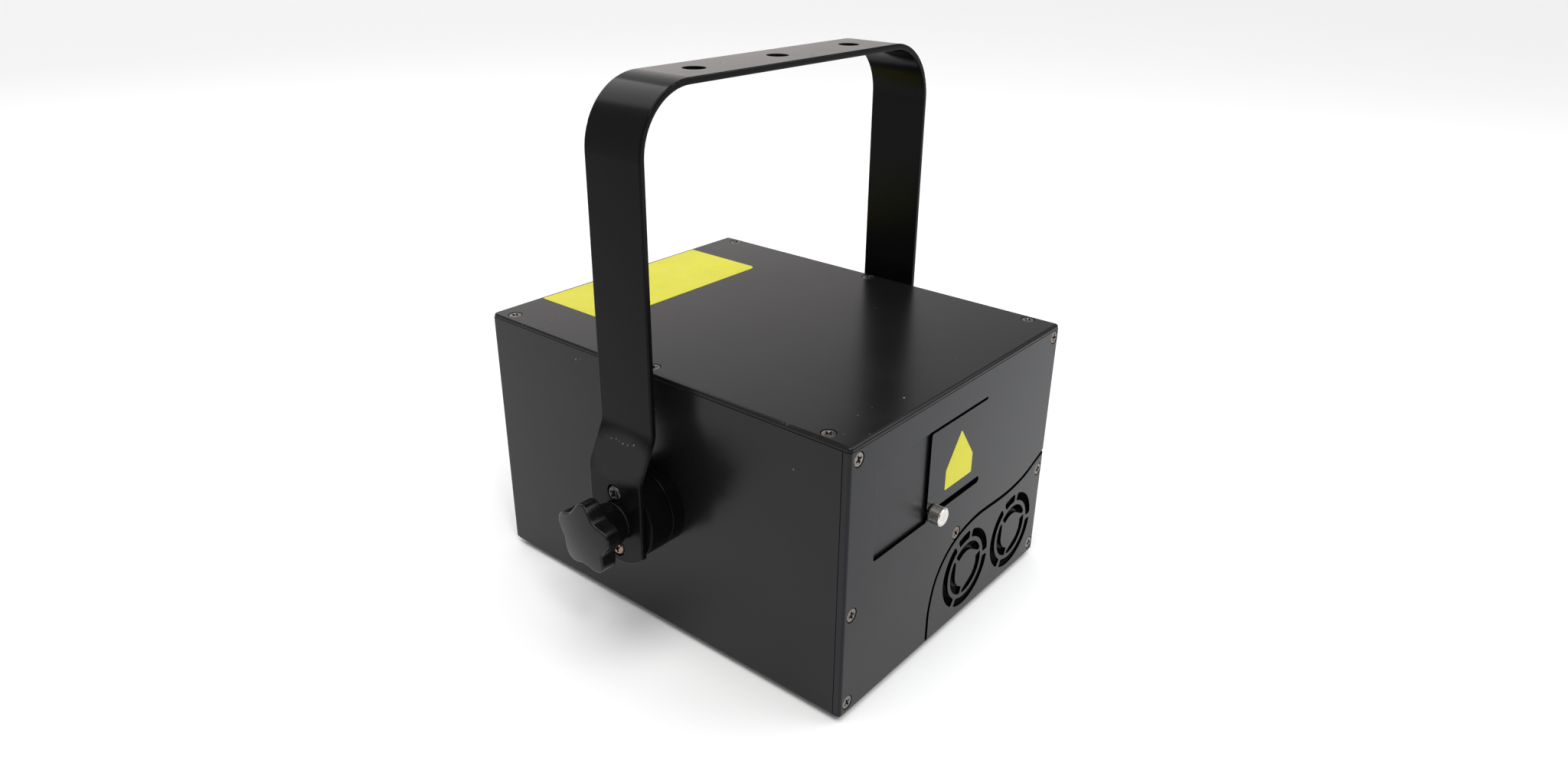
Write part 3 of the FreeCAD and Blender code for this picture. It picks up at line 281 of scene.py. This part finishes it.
def metal(name, dark, light, rough, grain=900, strength=0.1, stretch=(1, 1, 1), grime_and_shade=0.0, grime_and_shade_colour=(0.02, 0.016, 0.013), bevel=0.12, reach=1.4):
    """Plated or bare metal: tool marks, tarnish in patches, dirt and painted shade darkening the recesses."""
    s = Shader(name)
    nb = s.bevel(bevel)
    co = s.mapping(scale=stretch)
    marks = s.noise(grain, 3, 0.6, 0.0, co)
    tarnish = s.noise(160, 4, 0.6)
    colour = s.mix(s.ramp(tarnish, 0.35, 0.7), dark, light)
    colour = s.mix(s.ramp(marks, 0.45, 0.75, 0.0, 0.25), colour, [c * 0.7 for c in light])
    r = s.ramp(marks, 0.3, 0.75, rough - 0.06, rough + 0.10)
    if grime_and_shade:
        # dirt and painted shade: darker and rougher where ambient occlusion finds recesses
        g = s.ramp(s.cavity(reach), 0.25, 0.7, 0.0, grime_and_shade)
        colour = s.mix(g, colour, grime_and_shade_colour)
        r = s.math("ADD", r, s.math("MULTIPLY", g, 0.35), clamp=True)
    s.set(Base_Color=colour, Roughness=r, Normal=s.bump(marks, strength, 0.02, nb), Metallic=1.0)
    return s.m


CASE_SPOTS = (
    ((-117.6, -106.0, 183.0), 1.0, 5.5, 900, 0.80),
    ((-118.4, 117.2, 180.5), 0.8, 3.6, 700, 0.85),
    ((-111.0, -121.0, 183.0), 4.0, 15.0, 620, 0.10),
    ((-88.0, -133.0, 183.0), 2.0, 12.0, 620, 0.06),
    ((20.0, -128.0, 183.0), 0.5, 5.0, 700, 0.12),
    ((-112.0, 118.0, 183.0), 6.0, 24.0, 380, 0.12),
    ((60.0, -40.0, 183.0), 0.5, 4.0, 700, 0.10),
)
EVEN = (1, 1, 1)
PALE, TAN = (0.15, 0.145, 0.14), (0.24, 0.16, 0.11)
CASE_FLECKS = (
    ((-48.3, -136.4, 183.0), 0.75, (0.36, 0.27, 0.20), EVEN),
    ((-84.1, -129.8, 183.0), 0.55, (0.08, 0.075, 0.07), EVEN),
    ((-106.9, -137.5, 183.0), 0.5, (0.08, 0.075, 0.075), EVEN),
    ((-98.0, -147.7, 183.0), 0.55, (0.08, 0.075, 0.07), EVEN),
    ((-70.5, -129.8, 183.0), 0.45, (0.06, 0.06, 0.06), EVEN),
    ((-118.5, 66.3, 172.0), 0.65, TAN, EVEN),
    ((-118.5, 62.1, 173.6), 0.45, (0.10, 0.08, 0.07), EVEN),
    ((-118.5, -112.6, 157.4), 0.55, (0.16, 0.16, 0.16), EVEN),
)
# The first entry is a painted sheen, not a mark: a broad soft pale patch on the outer face of the left arm below the
# joggle; the rest are chips and dark specks.
YOKE_FLECKS_AND_SHEEN = (((-146.0, -1.0, 136.0), 26.0, (0.021, 0.021, 0.0222), (0.4, 0.8, 1.5)),) + tuple(
    ((-141.0, y, z), 0.72 * r, tone, (0.15, 1, 1)) for y, z, r, tone in (
        (13.4, 144.6, 0.55, (0.07, 0.042, 0.03)), (11.0, 144.4, 0.45, (0.05, 0.03, 0.02)), (9.3, 144.2, 0.62, TAN), (6.6, 144.9, 0.4, (0.05, 0.03, 0.02)),
        (5.2, 145.0, 0.62, (0.22, 0.12, 0.08)), (2.6, 144.4, 0.55, (0.13, 0.08, 0.055)), (1.4, 144.8, 0.42, (0.05, 0.03, 0.02)),
        (-0.9, 144.0, 0.72, (0.30, 0.25, 0.20)), (-2.6, 144.9, 0.42, (0.13, 0.08, 0.055)), (-4.9, 144.3, 0.66, TAN), (-6.2, 145.1, 0.4, (0.07, 0.05, 0.04)),
        (-9.6, 145.6, 0.7, (0.28, 0.22, 0.17)))
) + tuple(((x, y, 354.0), r, (0.0006, 0.0006, 0.0006), EVEN) for x, y, r in (
        (-48.2, 3.0, 0.9), (12.2, 12.5, 0.7), (11.2, 8.9, 0.8), (8.8, -0.2, 0.6), (14.7, -1.1, 0.8), (18.4, -4.8, 0.7), (18.1, -12.9, 1.0), (-20.5, 9.0, 0.6), (47.0, -6.0, 0.7), (-88.0, -11.0, 0.6)))
M = {}
CASE_INK = ((0.0042, 0.0042, 0.0045), (0.0062, 0.0062, 0.0066))
M["case"] = paint("case_powder_coat", *CASE_INK, 0.25, 0.243, 2100, 0.13, CASE_SPOTS, CASE_FLECKS,
                  shaded_cuts=((2, (-115.6, -147.0, 181.2), (115.6, 147.0, None)), (1, (-116.2, 149.0, 7.0), (116.2, None, 179.0))))
# painted light: the front panel, fan cover plate and shutter reflect with a bluish tint, standing in for the cooler
# light in front
M["front"] = paint("front_powder_coat", *CASE_INK, 0.25, 0.252, 2100, 0.10,
                   shaded_cuts=((1, (-116.2, None, 7.0), (117.2, -144.0, 179.0)),), tint=(0.895, 0.918, 1.0))
M["shutter"] = paint("shutter_powder_coat", *CASE_INK, 0.34, 0.292, 2100, 0.10, tint=(0.895, 0.918, 1.0))
# painted shade: the base plate and front crossbar get a darker, duller copy of the case coat, standing in for the shade
# along the bottom edge
M["base"] = paint("shaded_base_powder_coat", (0.0015, 0.0015, 0.0016), (0.0025, 0.0025, 0.0027), 0.55, 0.12, 1900, 0.10)
M["yoke"] = paint(
    "yoke_powder_coat", (0.0026, 0.0027, 0.0031), (0.0036, 0.0037, 0.0042), 0.27, 0.092, 1900, 0.14,
    (((-20.0, 0.0, 354.0), 10.0, 55.0, 900, 0.10), ((-144.0, 0.0, 138.0), 4.0, 16.0, 1300, 0.05)),
    YOKE_FLECKS_AND_SHEEN, dust=0.002, chip=(0.20, 0.15, 0.115), polish=(322.0, 353.0, 0.125))


def screws(name, tones, split=None):
    """Plated pan heads: tarnish differs from head to head, a bright rim that is partly worn plating and partly painted
    highlight, dirt and painted shade blackening the cross recess.
    """
    s = Shader(name)
    nb = s.bevel(0.22)
    each = s.noise(19, 0, 0.5)
    marks = s.noise(700, 3, 0.6)
    stain = s.noise(420, 4, 0.65)
    colour = s.mix(s.ramp(each, 0.38, 0.62), tones[0], tones[1])
    if split:
        colour = s.mix(s.ramp(s.xyz()[2], (split - 2.0) * MM, (split + 2.0) * MM), tones[2], colour)
    colour = s.mix(s.ramp(stain, 0.45, 0.7, 0.0, 0.55), colour, (0.07, 0.058, 0.048))
    # painted highlight and wear: a bright ring along the bevelled rim
    colour = s.mix(s.ramp(s.edge(nb, 0.02, 0.2), 0.0, 1.0, 0.0, 0.6), colour, (0.66, 0.60, 0.55))
    # dirt and painted shade: near black and less metallic where ambient occlusion finds the cross recess and the foot
    # of the head
    dirt_and_shade = s.ramp(s.cavity(2.2), 0.16, 0.42)
    colour = s.mix(dirt_and_shade, colour, (0.006, 0.005, 0.0045))
    r = s.ramp(marks, 0.3, 0.75, 0.22, 0.40)
    r = s.math("ADD", r, s.math("MULTIPLY", dirt_and_shade, 0.4), clamp=True)
    s.set(Base_Color=colour, Roughness=r, Normal=s.bump(marks, 0.14, 0.02, nb), Metallic=s.math("SUBTRACT", 1.0, s.math("MULTIPLY", dirt_and_shade, 0.9)))
    return s.m


M["screw"] = screws("case_screw", ((0.172, 0.143, 0.122), (0.238, 0.211, 0.189)))
M["disc_screw"] = screws("disc_screw", ((0.070, 0.068, 0.066), (0.095, 0.090, 0.086), (0.27, 0.195, 0.15)), PIVOT_Z)
M["nickel"] = metal("bright_nickel", (0.62, 0.59, 0.56), (0.74, 0.71, 0.675), 0.24, 1300, 0.10, grime_and_shade=0.75, grime_and_shade_colour=(0.06, 0.052, 0.045), reach=0.6)
M["disc"] = plastic("pivot_disc_plastic", (0.0018, 0.0018, 0.002), (0.003, 0.003, 0.0033), 0.34, 0.07, 1100, 0.10, 0.5)
M["knob"] = plastic("knob_plastic", (0.0028, 0.0028, 0.003), (0.0042, 0.0042, 0.0045), 0.20, 0.25, 1700, 0.05, 0.5)
M["black"] = plastic("black_plastic", (0.010, 0.010, 0.011), (0.018, 0.018, 0.019), 0.42, 0.5, 1300, 0.16)
M["fan"] = plastic("fan_plastic", (0.005, 0.005, 0.0055), (0.010, 0.010, 0.011), 0.55, 0.12, 900, 0.12)
M["rubber"] = plastic("foot_rubber", (0.012, 0.012, 0.012), (0.022, 0.021, 0.020), 0.75, 0.3, 700, 0.35, 0.6)
M["steel"] = metal("plain_steel", (0.36, 0.35, 0.34), (0.55, 0.54, 0.52), 0.34, 800, 0.12, grime_and_shade=0.6)
M["alu"] = metal("bare_aluminium", (0.62, 0.63, 0.64), (0.80, 0.81, 0.82), 0.32, 500, 0.12, (1, 12, 1), grime_and_shade=0.4)
M["mirror"] = metal("mirror_coating", (0.86, 0.88, 0.90), (0.92, 0.93, 0.95), 0.09, 300, 0.01)


def board(name):
    s = Shader(name)
    b = s.node("ShaderNodeTexBrick", {"offset": 0.37, "squash": 0.7}, Scale=95.0)
    s.put(b.inputs["Color1"], (0.012, 0.085, 0.035))
    s.put(b.inputs["Color2"], (0.016, 0.105, 0.045))
    s.put(b.inputs["Mortar"], (0.030, 0.20, 0.085))
    b.inputs["Mortar Size"].default_value = 0.018
    s.t.links.new(s.mapping(scale=(1, 1, 1), rot=(1.5708, 0, 0)), b.inputs["Vector"])
    pads = s.specks(420, 0.33, 0.16)
    colour = s.mix(pads, b.outputs["Color"], (0.62, 0.55, 0.40))
    r = s.ramp(s.noise(200, 3), 0.3, 0.7, 0.28, 0.42)
    s.set(Base_Color=colour, Roughness=r, Metallic=s.math("MULTIPLY", pads, 0.8), Normal=s.bump(b.outputs["Fac"], 0.3, 0.03))
    return s.m


def glass(name):
    s = Shader(name)
    smear = s.noise(60, 5, 0.65, 0.7)
    s.set(Base_Color=s.mix(s.ramp(smear, 0.3, 0.7), (0.90, 0.95, 0.96), (0.96, 0.98, 0.98)),
          Roughness=s.ramp(smear, 0.4, 0.8, 0.02, 0.07), Transmission_Weight=1.0, IOR=1.5)
    return s.m


def screen(name):
    s = Shader(name)
    lines = s.node("ShaderNodeTexWave", {"wave_type": "BANDS", "bands_direction": "Z"}, Scale=520.0)
    s.t.links.new(s.co, lines.inputs["Vector"])
    smear = s.noise(90, 5, 0.6, 0.6)
    colour = s.mix(s.ramp(lines.outputs["Fac"], 0.2, 0.8), (0.010, 0.004, 0.005), (0.018, 0.006, 0.007))
    s.set(Base_Color=colour, Roughness=s.ramp(smear, 0.35, 0.75, 0.08, 0.18))
    s.p.inputs["Coat Weight"].default_value = 0.6
    return s.m


def sticker(name):
    """Yellow vinyl film, left plain: slight cast variation, fine film texture, dark specks of dirt."""
    s = Shader(name)
    cloud = s.noise(22, 4, 0.6)
    film = s.noise(620, 3, 0.6)
    nb = s.bevel(0.1)
    colour = s.mix(s.ramp(cloud, 0.3, 0.72), (0.610, 0.578, 0.016), (0.660, 0.628, 0.024))
    colour = s.mix(s.math("MULTIPLY", s.ramp(film, 0.52, 0.75), 0.16), colour, (0.48, 0.45, 0.03))
    colour = s.mix(s.math("MULTIPLY", s.specks(240, 0.10, 0.05), 0.5), colour, (0.25, 0.22, 0.05))
    s.set(Base_Color=colour, Roughness=s.ramp(s.noise(45, 5, 0.6, 0.6), 0.3, 0.75, 0.30, 0.44),
          Normal=s.bump(film, 0.10, 0.02, s.bump(cloud, 0.25, 0.25, nb)))
    s.p.inputs["Specular IOR Level"].default_value = 0.25
    return s.m


M["board"] = board("circuit_board")
M["glass"] = glass("clear_glass")
M["screen"] = screen("display_plastic")
M["label"] = sticker("label_yellow")

LOOK = {
    "case": "left_side_panel right_side_panel top_cover rear_panel",
    "shutter": "shutter_plate",
    "front": "front_panel fan_cover_plate",
    "base": "base_plate front_crossbar",
    "yoke": "yoke_bracket",
    "screw": "case_screws socket_screws fan_screws",
    "disc_screw": "disc_screws",
    "nickel": "shutter_thumb_screw key_switch_body safety_eye switch_key",
    "disc": "pivot_disc_left pivot_disc_right friction_disc_left friction_disc_right",
    "knob": "knob_left knob_right",
    "black": "power_inlet power_switch_body power_rocker dmx_in_socket dmx_out_socket menu_button_1 menu_button_2 menu_button_3 menu_button_4 red_laser_module green_laser_module blue_laser_module galvo_motors knob_washer_left knob_washer_right",
    "fan": "fan_rotor_left fan_rotor_right fan_frames",
    "rubber": "rubber_feet",
    "steel": "pivot_nuts shutter_rails optics_standoffs power_supply",
    "alu": "optical_base laser_heat_sink mirror_mounts galvo_block aperture_frame",
    "mirror": "combining_mirrors galvo_mirror_x galvo_mirror_y",
    "board": "control_board galvo_driver_boards",
    "glass": "aperture_glass",
    "screen": "display_window",
}


def dress(obj, material):
    obj.data.materials.clear()
    obj.data.materials.append(material)


for key, names in LOOK.items():
    for n in names.split():
        dress(NODES[n], M[key])
for n, o in NODES.items():
    assert o.data.materials and o.data.materials[0] in M.values(), n


# ------------------------------------------------------------------ stickers
def rounded(points, radii, steps=6):
    """Polygon with its corners rounded, as a list of 2-D points."""
    res = []
    n = len(points)
    for i in range(n):
        p, a, b = Vector(points[i]), Vector(points[i - 1]), Vector(points[(i + 1) % n])
        r = radii[i]
        u, v = (a - p).normalized(), (b - p).normalized()
        half = math.acos(max(-1, min(1, u.dot(v)))) / 2
        d = r / math.tan(half)
        c = p + (u + v).normalized() * (r / math.sin(half))
        s, e = p + u * d, p + v * d
        a0 = math.atan2(s.y - c.y, s.x - c.x)
        a1 = math.atan2(e.y - c.y, e.x - c.x)
        da = (a1 - a0 + math.pi) % (2 * math.pi) - math.pi
        for k in range(steps + 1):
            t = a0 + da * k / steps
            res.append((c.x + r * math.cos(t), c.y + r * math.sin(t)))
    return res


def film(name, outline, to3d, thick=0.14):
    """Thin closed sticker over an outline; to3d(u, v, h) gives the point at height h above the face, in mm."""
    bm = bmesh.new()
    cx = sum(p[0] for p in outline) / len(outline)
    cy = sum(p[1] for p in outline) / len(outline)
    rings = []
    for h, inset in ((0.0, 0.0), (thick * 0.7, 0.0), (thick, 0.10), (thick, 2.2), (thick * 0.96, 5.0)):
        ring = []
        for x, y in outline:
            d = Vector((x - cx, y - cy))
            q = d * max(0.0, 1 - inset / max(d.length, 1e-6))
            ring.append(bm.verts.new([c * MM for c in to3d(cx + q.x, cy + q.y, h)]))
        rings.append(ring)
    n = len(outline)
    bm.faces.new(list(reversed(rings[0])))
    for a, b in zip(rings, rings[1:]):
        for i in range(n):
            bm.faces.new((a[i], a[(i + 1) % n], b[(i + 1) % n], b[i]))
    bm.faces.new(rings[-1])
    bmesh.ops.recalc_face_normals(bm, faces=bm.faces)
    me = bpy.data.meshes.new(name)
    bm.to_mesh(me)
    bm.free()
    o = bpy.data.objects.new(name, me)
    bpy.context.scene.collection.objects.link(o)
    dress(o, M["label"])
    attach(o, "housing")
    return o


front_outline = rounded([(fx(115.3), fz(143.4)), (fx(131.3), fz(121.5)), (fx(131.3), fz(108.0)), (fx(100.0), fz(108.0)), (fx(100.0), fz(121.5))],
                        [0.8, 1.2, 0.8, 0.8, 1.2])
film("front_sticker", front_outline, lambda u, v, h: (u, -CASE_Y - h, v))
top_outline = rounded([(-78.5, 80.5), (72.5, 80.5), (72.5, 147.2), (-78.5, 147.2)], [5.0, 5.0, 1.2, 1.2])
film("top_sticker", top_outline, lambda u, v, h: (u, v, CASE_TOP + h))


def seal(name, y0, y1):
    """Foam strip inside the case that keeps light out of the joint under the top cover."""
    bm = bmesh.new()
    v = [bm.verts.new((x * MM, y * MM, z * MM)) for x in (-100.0, 100.0) for y in (y0, y1) for z in (178.7, 181.4)]
    for f in ((0, 1, 3, 2), (4, 6, 7, 5), (0, 4, 5, 1), (2, 3, 7, 6), (0, 2, 6, 4), (1, 5, 7, 3)):
        bm.faces.new([v[i] for i in f])
    bmesh.ops.recalc_face_normals(bm, faces=bm.faces)
    me = bpy.data.meshes.new(name)
    bm.to_mesh(me)
    bm.free()
    o = bpy.data.objects.new(name, me)
    bpy.context.scene.collection.objects.link(o)
    dress(o, M["rubber"])
    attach(o, "housing")


seal("front_light_seal", -148.9, -145.0)
seal("rear_light_seal", 145.0, 148.9)


# ------------------------------------------------------------------ stage, light, camera
def area(name, loc, aim, size, power, colour=(1, 1, 1), size_y=None):
    d = bpy.data.lights.new(name, "AREA")
    d.shape = "RECTANGLE" if size_y else "SQUARE"
    d.size = size
    if size_y:
        d.size_y = size_y
    d.energy = power
    d.color = colour
    o = bpy.data.objects.new(name, d)
    o.location = loc
    o.rotation_euler = (Vector(aim) - Vector(loc)).to_track_quat("-Z", "Y").to_euler()
    bpy.context.scene.collection.objects.link(o)
    return o


me = bpy.data.meshes.new("floor")
R = 14.0
me.from_pydata([(-R, -R, 0), (R, -R, 0), (R, R, 0), (-R, R, 0)], [], [(0, 1, 2, 3)])
floor = bpy.data.objects.new("floor", me)
bpy.context.scene.collection.objects.link(floor)
s = Shader("pale_floor")
# pale grey with painted shade: a little deeper far to the rear left, standing in for light falling off there
painted_falloff = s.vmath("DOT_PRODUCT", s.vmath("ADD", s.co, (0.517, 0.431, 0.0)), (-0.970, 0.242, 0.0))
tone = s.mix(s.ramp(painted_falloff, -0.10, 1.3), (0.90, 0.90, 0.90), (0.70, 0.70, 0.70))
s.set(Base_Color=s.mix(s.ramp(s.noise(3, 2), 0.3, 0.7, 0.0, 0.03), tone, (0.80, 0.80, 0.80)), Roughness=0.75)
s.p.inputs["Specular IOR Level"].default_value = 0.2
dress(floor, s.m)

world = bpy.data.worlds.new("studio")
bpy.context.scene.world = world
world.use_nodes = True
w = world.node_tree
bg = w.nodes["Background"]


def wnode(kind, *inputs, **props):
    n = w.nodes.new(kind)
    for k, v in props.items():
        setattr(n, k, v)
    for i, v in enumerate(inputs):
        if isinstance(v, bpy.types.NodeSocket):
            w.links.new(v, n.inputs[i])
        elif v is not None:
            n.inputs[i].default_value = v
    return n.outputs[0]


# white studio: a bright low wall behind to the right, the other walls dimmer, a soft ceiling
direction = w.nodes.new("ShaderNodeTexCoord").outputs["Generated"]
sep = w.nodes.new("ShaderNodeSeparateXYZ")
w.links.new(direction, sep.inputs[0])
height = w.nodes.new("ShaderNodeValToRGB")
w.links.new(sep.outputs[2], height.inputs[0])
height.color_ramp.interpolation = "EASE"
stops = height.color_ramp.elements
for at, val in ((0.0, (0.95, 0.90, 0.88)), (0.06, (3.5, 3.3, 3.2)), (0.17, (3.5, 3.3, 3.2)), (0.26, (0.56, 0.55, 0.55)), (0.40, (0.36, 0.36, 0.37)), (0.58, (0.42, 0.43, 0.45)), (0.8, (0.46, 0.48, 0.50)), (1.0, (0.50, 0.52, 0.55))):
    e = stops[0] if at == 0.0 else (stops[1] if at == 1.0 else stops.new(at))
    e.position = at
    e.color = (*val, 1.0)


def wvec(op, a, b=None, scale=None):
    n = w.nodes.new("ShaderNodeVectorMath")
    n.operation = op
    w.links.new(a, n.inputs[0])
    if isinstance(b, bpy.types.NodeSocket):
        w.links.new(b, n.inputs[1])
    elif b is not None:
        n.inputs[1].default_value = b
    if scale is not None:
        w.links.new(scale, n.inputs["Scale"])
    return n.outputs["Value"] if op == "DOT_PRODUCT" else n.outputs["Vector"]


level = wvec("NORMALIZE", wvec("MULTIPLY", direction, (1.0, 1.0, 0.0)))
WALL_AZ = math.radians(60)
towards = wnode("ShaderNodeMath", wvec("DOT_PRODUCT", level, (math.cos(WALL_AZ), math.sin(WALL_AZ), 0.0)), 0.0, operation="MAXIMUM")
lobe = wnode("ShaderNodeMath", wnode("ShaderNodeMath", towards, 5.0, operation="POWER"), 0.95, 0.28, operation="MULTIPLY_ADD")
SIDE_AZ = math.radians(155)
aside = wnode("ShaderNodeMath", wvec("DOT_PRODUCT", level, (math.cos(SIDE_AZ), math.sin(SIDE_AZ), 0.0)), 0.0, operation="MAXIMUM")
lobe = wnode("ShaderNodeMath", wnode("ShaderNodeMath", aside, 2.0, operation="POWER"), 0.60, lobe, operation="MULTIPLY_ADD")
ceiling = wnode("ShaderNodeMapRange", sep.outputs[2], 0.45, 0.85, 0.0, 1.0, clamp=True)
away = wnode("ShaderNodeMath", 1.0, ceiling, operation="SUBTRACT")
part = wnode("ShaderNodeMath", lobe, away, ceiling, operation="MULTIPLY_ADD")
w.links.new(wvec("SCALE", height.outputs[0], scale=part), bg.inputs["Color"])
bg.inputs["Strength"].default_value = 1.0

sun = bpy.data.lights.new("key_soft", "SUN")
sun.energy = 1.65
sun.angle = math.radians(42)
sun.color = (1.0, 0.985, 0.965)
key = bpy.data.objects.new("key_soft", sun)
key.rotation_euler = Vector((0.20, 0.16, -0.97)).to_track_quat("-Z", "Y").to_euler()
bpy.context.scene.collection.objects.link(key)

area("front_fill", (1.0, -1.1, 1.3), (0.32, -0.30, 0.0), 1.3, 12, (0.94, 0.98, 1.0))
area("rear_softbox", (0.02, 1.75, 1.66), (-0.10, 0.0, 0.34), 1.35, 10, (0.98, 0.98, 1.0), 1.05)
area("camera_softbox", (-0.62, -0.92, 1.32), (0.0, 0.0, 0.10), 0.22, 4.5, (1.0, 0.985, 0.97))

back = Vector((-0.70454, -0.57512, 0.41576)).normalized()
right = (-back).cross(Vector((0, 0, 1))).normalized()
up = right.cross(-back)
c, sn = math.cos(math.radians(0.77)), math.sin(math.radians(0.77))
X, Y = c * right + sn * up, -sn * right + c * up
cam = bpy.data.cameras.new("camera")
cam.sensor_fit = "HORIZONTAL"
cam.sensor_width = 36.0
cam.lens = 24.474
cam.clip_start, cam.clip_end = 0.01, 60.0
camera = bpy.data.objects.new("camera", cam)
pos = Vector((-0.5172, -0.4307, 0.4424))
camera.matrix_world = Matrix(((X.x, Y.x, back.x, pos.x), (X.y, Y.y, back.y, pos.y), (X.z, Y.z, back.z, pos.z), (0, 0, 0, 1)))
bpy.context.scene.collection.objects.link(camera)
bpy.context.scene.camera = camera
bpy.context.scene.view_settings.view_transform = "Standard"
